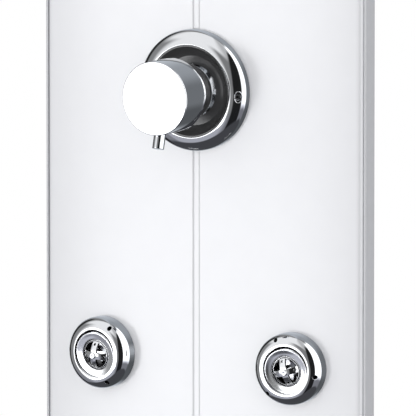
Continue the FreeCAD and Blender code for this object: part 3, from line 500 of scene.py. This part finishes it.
# the set screw's place on the dome, about the mixer's axis, and the way it points out of the dome
SET_SCREW_R = 37.55
SET_SCREW_W = 8.8
SET_SCREW_TURN = math.radians(-3)
SET_SCREW_SLOPE = math.radians(38)
SET_SCREW_HOLE_R = 2.1
SET_SCREW_HOLE_DEPTH = 11
SET_SCREW_HOLE_CLEAR = 3  # its cutter starts this far outside the dome
SET_SCREW_AT = Vector((
    SET_SCREW_R * math.cos(SET_SCREW_TURN),
    SET_SCREW_R * math.sin(SET_SCREW_TURN),
    SET_SCREW_W,
))
SET_SCREW_OUT = Vector((
    math.sin(SET_SCREW_SLOPE) * math.cos(SET_SCREW_TURN),
    math.sin(SET_SCREW_SLOPE) * math.sin(SET_SCREW_TURN),
    math.cos(SET_SCREW_SLOPE),
))
SET_SCREW = Matrix.Translation(SET_SCREW_AT) @ SET_SCREW_OUT.to_track_quat("Z", "Y").to_matrix().to_4x4()


def dome_outline():
    """The flange's face in (r, w), outwards: its slope grows slowly, then turns down quickly at the rim."""
    first_r = INNER_R + INNER_EDGE
    points = [(INNER_R, 10.2), (INNER_R + 0.1, 10.42), (first_r, 10.5)]
    slopes = [(first_r, 8), (33.0, 12), (34.6, 19), (36.5, 28), (38.6, 38), (39.9, 46), (40.6, 60)]
    slopes += [(41.0, 74), (RIM_R, 86)]
    steps = 8
    for (r0, slope0), (r1, slope1) in zip(slopes, slopes[1:]):
        for i in range(1, steps + 1):
            slope = math.tan(math.radians(slope0 + (slope1 - slope0) * (i - 0.5) / steps))
            points.append((r0 + (r1 - r0) * i / steps, points[-1][1] - slope * (r1 - r0) / steps))
    return points


def height_on(outline, r):
    """The height w of an outline that runs outwards, at a radius."""
    for (r0, w0), (r1, w1) in zip(outline, outline[1:]):
        if r0 <= r <= r1:
            return w0 + (w1 - w0) * (r - r0) / (r1 - r0)
    return outline[-1][1]


def screw_bead(dome):
    """A fine oval bead that lies on the dome round the set screw's hole."""
    half_wide = 2.7
    half_tall = 3.85
    tube_r = 0.24
    turns = 72
    sides = 10
    around = [2 * math.pi * k / sides for k in range(sides)]
    bm = bmesh.new()
    rings = []
    for i in range(turns):
        a = 2 * math.pi * i / turns
        outward = SET_SCREW.to_3x3() @ Vector((math.cos(a), math.sin(a), 0))
        middle = SET_SCREW @ Vector((half_tall * math.cos(a), half_wide * math.sin(a), 0))
        middle.z = height_on(dome, math.hypot(middle.x, middle.y))
        ring = []
        for b in around:
            point = middle + outward * tube_r * math.cos(b) + SET_SCREW_OUT * tube_r * math.sin(b)
            ring.append(bm.verts.new(point))
        rings.append(ring)
    for ring, other in zip(rings, rings[1:] + rings[:1]):
        for k in range(sides):
            m = (k + 1) % sides
            bm.faces.new((ring[k], other[k], other[m], ring[m]))
    return bm


def escutcheon():
    """The chrome flange: a low dome with a set screw in its side, on the curved panel."""
    dome = dome_outline()
    rim_inner = RIM_R - RIM_WALL
    back = [(RIM_R, RIM_BACK), (rim_inner, RIM_BACK), (rim_inner, FLANGE_BACK), (INNER_R, FLANGE_BACK)]
    bm = lathe(dome + back, segments=256)
    # lifts what would reach into the curved panel to just off its surface
    for vert in bm.verts:
        vert.co.z = max(vert.co.z, surface_w(vert.co.x) + FACE_GAP)
    bm = cut_away(bm, [rod(SET_SCREW_HOLE_R, -SET_SCREW_HOLE_DEPTH, SET_SCREW_HOLE_CLEAR, SET_SCREW)])
    join(bm, screw_bead(dome))
    piece_from(bm, "mixer_rim", "escutcheon", "column", MIXER)


# ---------------------------------------------------------------- jets
BALL_R = 17.5
BALL_FLAT = -41.1  # degrees from its equator to where the ball is flat behind,
BALL_DISH = 27.6  # and to where its dish begins in front
NOZZLE_DROOP = 7  # degrees, as the turns below
CUP_R = 10.6
CUP_FLOOR = 0.2
BORE_R = 8.0

SPRAY_TURN = {"left": -7, "right": 16}
SPRAY_RISE = 3.2  # the cross stands out of the nozzle's cup


def eye_place(side):
    """The frame of a nozzle: the jet's own, drooping about the middle of its ball."""
    centre = Matrix.Translation((0, 0, NOZZLE_CENTRE))
    return JETS[side] @ centre @ Matrix.Rotation(math.radians(NOZZLE_DROOP), 4, "X") @ centre.inverted()


def nozzle(side):
    """The ball: flat behind, with a shallow dish in front round a deep cup."""
    outline = arc((0, NOZZLE_CENTRE / MM), BALL_R, BALL_FLAT, BALL_DISH, count=40)
    back = outline[0][1]
    # the dish, from the ball's edge inwards
    outline += [(15.3, 12.4), (15.0, 12.36), (14.2, 12.15), (13.2, 11.87), (12.2, 11.65), (11.3, 11.5)]
    outline += [(10.9, 11.4), (10.7, 11.25), (CUP_R, 11.0)]
    outline += [(CUP_R, CUP_FLOOR), (BORE_R, CUP_FLOOR), (BORE_R, back)]
    bm = lathe(outline, segments=160)
    piece_from(bm, "eye_" + side, "jet_nozzle_" + side, "jet_eye_" + side, eye_place(side), "eye_chrome")


def spray_cup():
    """The cup that carries the cross: its back rests on the floor of the nozzle's cup."""
    outer_r = 10.4
    inner_r = 9.0
    back = CUP_FLOOR - SPRAY_RISE
    inside = 2.2
    rim = 7.2
    outer_edge = 0.3
    inner_edge = 0.2
    outline = [(0, back), (outer_r, back), (outer_r, rim - outer_edge), (outer_r - outer_edge, rim)]
    outline += [(inner_r + inner_edge, rim), (inner_r, rim - inner_edge), (inner_r, inside), (0, inside)]
    return lathe(outline, segments=96)


def spray_cross():
    """A domed cross with a button in its middle and a small hole in each arm."""
    under = [(0, 10.0), (3.0, 9.9), (5.5, 9.1), (7.6, 7.7), (9.1, 5.6)]
    dome = [(9.8, 5.6), (9.75, 7.3), (9.2, 8.2), (8.2, 9.2), (7.0, 10.1), (5.6, 10.8), (4.2, 11.3)]
    dome += [(3.0, 11.55), (2.25, 11.65)]
    arm_half = 2.15
    button_r = arm_half
    button_round = 0.4
    button = [(button_r, 11.8), (button_r, 12.5)]
    button += arc((button_r - button_round, 12.5), button_round, 20, 90, count=4) + [(0.9, 12.9), (0, 12.75)]
    reach = 9.15
    corner = 0.5
    # the window between two arms, with its inner corner cut off
    first = math.degrees(math.asin(arm_half / reach))
    window = [(arm_half + corner, arm_half), (arm_half, arm_half + corner)]
    window += arc((0, 0), reach, 90 - first, first, count=12)
    cut_from = 3.0
    cut_to = 16.0
    hole_r = 0.8
    hole = Matrix.Translation((7.6, 0, 0))
    cutters = []
    for k in range(4):
        turn = Matrix.Rotation(math.radians(90 * k), 4, "Z")
        quarter = prism(window, cut_from, cut_to)
        quarter.transform(turn)
        cutters += [quarter, rod(hole_r, cut_from, cut_to, turn @ hole, segments=24)]
    return cut_away(lathe(under + dome + button, segments=128), cutters)


def spray(side):
    """The nozzle's insert: the cross over its cup, which painted hollow shade darkens."""
    bm = spray_cup()
    join(bm, spray_cross())
    place = eye_place(side) @ Matrix.Translation((0, 0, SPRAY_RISE * MM))
    place = place @ Matrix.Rotation(math.radians(SPRAY_TURN[side]), 4, "Z")
    piece_from(bm, "spray_" + side, "spray_insert_" + side, "jet_eye_" + side, place, "spray_chrome")


front_panel()
escutcheon()
for side in SIDES:
    nozzle(side)
    spray(side)

# the chrome shows the studio, these nodes and the new chrome pieces, but not the rest of the column
SEEN_IN_CHROME = {"clamp_sleeve", "knob", "knob_ball", "lever_pin", "jet_bezel_left", "jet_bezel_right"}
for node_name, node in frame["nodes"].items():
    if node_name not in SEEN_IN_CHROME:
        node.visible_glossy = False

# ---------------------------------------------------------------- stage
# the camera, fitted to the photograph
AZIMUTH = math.radians(30.1)
ELEVATION = math.radians(8)
DISTANCE = 7.0
FOCAL_PIXELS = 10368  # its focal length, in the photograph's pixels
PICTURE = 416  # the photograph's width
SENSOR = 36.0
TARGET = Vector((9.17 * MM, -53.9 * MM, -20.0 * MM))  # what shows in its middle

# what lights the matt surfaces evenly, and two large lights in front
FILL_COLOUR = (0.975, 0.972, 1.0, 1)
FILL_STRENGTH = 0.72
LIGHT_COLOUR = (1.0, 0.995, 0.985)
LIGHT_WIDE = 2.2
LIGHT_TALL = 2.4
LIGHT_DISTANCE = 2.2
LIGHT_RISE = 0.35

FLOOR_R = 1.7
FLOOR_BELOW = 0.25  # under the column's lower end
FLOOR_Y = -0.1
FADE_FROM = 0.35  # shares of its radius
FADE_TO = 0.98


def camera():
    """The photograph's camera: far away, with a long lens."""
    data = bpy.data.cameras.new("camera")
    data.sensor_width = SENSOR
    data.lens = SENSOR * FOCAL_PIXELS / PICTURE
    data.clip_start = 0.1
    data.clip_end = 100
    obj = bpy.data.objects.new("camera", data)
    bpy.context.scene.collection.objects.link(obj)
    back = Vector((
        math.sin(AZIMUTH) * math.cos(ELEVATION),
        -math.cos(AZIMUTH) * math.cos(ELEVATION),
        math.sin(ELEVATION),
    ))
    obj.location = TARGET + back * DISTANCE
    obj.rotation_euler = back.to_track_quat("Z", "Y").to_euler()
    bpy.context.scene.camera = obj


def mirrored_boxes(g, side, height):
    """The colour and brightness that the chrome mirrors from each direction: soft boxes and dark flags.

    side and height are the direction's angles in degrees: side from straight in front, growing to the
    right, and height above the horizon. Each line moves the brightness to a level where its windows
    are open.
    """
    def blend(total, level, *windows):
        factor = g.product(*windows)
        keep = g.math("MULTIPLY", total, g.math("SUBTRACT", 1.0, factor))
        return g.math("ADD", keep, g.math("MULTIPLY", factor, level))

    def sides(rise, fall):
        return g.window(side, rise, fall)

    def heights(rise, fall):
        return g.window(height, rise, fall)

    total = 0.30
    # rear, behind the wall's plane: what the knob's side and the rims' outer edges show
    rear = g.ramp(g.math("ABSOLUTE", side), 118, 146)
    total = blend(total, 0.25, rear)
    total = blend(total, 0.50, rear, g.ramp(height, 12, 34))
    total = blend(total, 0.14, rear, g.ramp(height, -12, -24))
    total = blend(total, 0.70, rear, sides((-178, -150), (-60, 0)))
    # dark and grey flags at the left
    total = blend(total, 0.03, sides((-128, -116), (-84, -72)), heights((-60, -50), (38, 52)))
    total = blend(total, 0.34, sides((-96, -84), (-52, -44)))
    # above
    total = blend(total, 1.25, g.ramp(height, 24, 38), sides((-100, -70), (0, 40)))
    total = blend(total, 0.75, g.ramp(height, 30, 44), sides((0, 40), (80, 100)))
    # right-hand strip, and the dark flag beside it, which narrows as it rises
    total = blend(total, 2.2, sides((56, 60), (130, 140)), heights((-30, -16), (62, 72)))
    lean = g.math("SUBTRACT", side, g.math("MULTIPLY", g.math("MAXIMUM", height, 0.0), 0.55))
    flag = g.product(g.ramp(lean, 4, 12), g.ramp(side, 52, 57, 1.0, 0.0))
    total = blend(total, 0.02, flag, heights((-60, -50), (46, 56)))
    # the front box
    total = blend(total, 1.25, sides((-64, -40), (-18, -2)), g.ramp(height, -10, 0))
    total = blend(total, 4.4, sides((-52, -40), (-18, -6)), heights((-23, -21), (-2, 5)))
    # lavender floor light, then the dark below it
    total = blend(total, 0.62, sides((-60, -48), (-12, 4)), heights((-44, -40), (-23, -21)))
    total = blend(total, 0.09, g.ramp(height, -40, -46))

    colour = g.mix(g.ramp(height, -14, -30), (0.97, 0.98, 1.0, 1), (0.86, 0.88, 1.0, 1))
    colour = g.mix(rear, colour, (0.86, 0.92, 1.0, 1))
    return colour, total


def studio():
    """White behind the object, an even fill for matt surfaces, and soft boxes and flags for the chrome."""
    world = bpy.data.worlds.new("studio")
    bpy.context.scene.world = world
    world.use_nodes = True
    g = Graph(world.node_tree)

    def background(colour, strength):
        node = g.node("ShaderNodeBackground")
        g.put(node.inputs["Color"], colour)
        g.put(node.inputs["Strength"], strength)
        return node.outputs[0]

    place = g.node("ShaderNodeTexCoord")
    split = g.node("ShaderNodeSeparateXYZ")
    g.link(place.outputs["Generated"], split.inputs[0])
    x, y, z = split.outputs
    side = g.math("MULTIPLY", g.math("ARCTAN2", x, g.math("MULTIPLY", y, -1.0)), math.degrees(1))
    height = g.math("MULTIPLY", g.math("ARCSINE", z), math.degrees(1))
    mirrored = background(*mirrored_boxes(g, side, height))
    fill = background(FILL_COLOUR, FILL_STRENGTH)
    white = background((1, 1, 1, 1), 1.0)
    rays = g.node("ShaderNodeLightPath")
    lit = g.mix_shader(rays.outputs["Is Glossy Ray"], fill, mirrored)
    seen = g.mix_shader(rays.outputs["Is Camera Ray"], lit, white)
    output = g.node("ShaderNodeOutputWorld")
    g.link(seen, output.inputs["Surface"])


def area_light(name, side, energy):
    """A large soft light in front of the column, so many degrees to its right."""
    data = bpy.data.lights.new(name, "AREA")
    data.shape = "RECTANGLE"
    data.size = LIGHT_WIDE
    data.size_y = LIGHT_TALL
    data.energy = energy
    data.color = LIGHT_COLOUR
    obj = bpy.data.objects.new(name, data)
    bpy.context.scene.collection.objects.link(obj)
    toward = Vector((math.sin(math.radians(side)), -math.cos(math.radians(side)), LIGHT_RISE)).normalized()
    obj.location = toward * LIGHT_DISTANCE
    obj.rotation_euler = toward.to_track_quat("Z", "Y").to_euler()
    obj.visible_glossy = False
    obj.visible_camera = False


def floor():
    """A pale disc below the column that fades out towards its edge."""
    bm = bmesh.new()
    bmesh.ops.create_circle(bm, cap_ends=True, segments=96, radius=FLOOR_R)
    mesh = bpy.data.meshes.new("floor")
    bm.to_mesh(mesh)
    bm.free()
    obj = bpy.data.objects.new("floor", mesh)
    obj.location = (0, FLOOR_Y, cad_low[2] - FLOOR_BELOW)
    obj.visible_glossy = False
    bpy.context.scene.collection.objects.link(obj)
    material = bpy.data.materials.new("floor_pale")
    material.use_nodes = True
    g = Graph(material.node_tree)
    place = g.node("ShaderNodeTexCoord")
    length = g.node("ShaderNodeVectorMath", operation="LENGTH")
    g.link(place.outputs["Object"], length.inputs[0])
    matt = g.node("ShaderNodeBsdfDiffuse")
    matt.inputs["Color"].default_value = grey(0.92)
    clear = g.node("ShaderNodeBsdfTransparent")
    edge = g.ramp(length.outputs["Value"], FLOOR_R * FADE_FROM, FLOOR_R * FADE_TO)
    output = g.node("ShaderNodeOutputMaterial")
    g.link(g.mix_shader(edge, matt.outputs[0], clear.outputs[0]), output.inputs["Surface"])
    mesh.materials.append(material)


camera()
studio()
area_light("key", side=-42, energy=8)
area_light("fill", side=42, energy=6)
floor()
bpy.context.scene.view_settings.view_transform = "Standard"
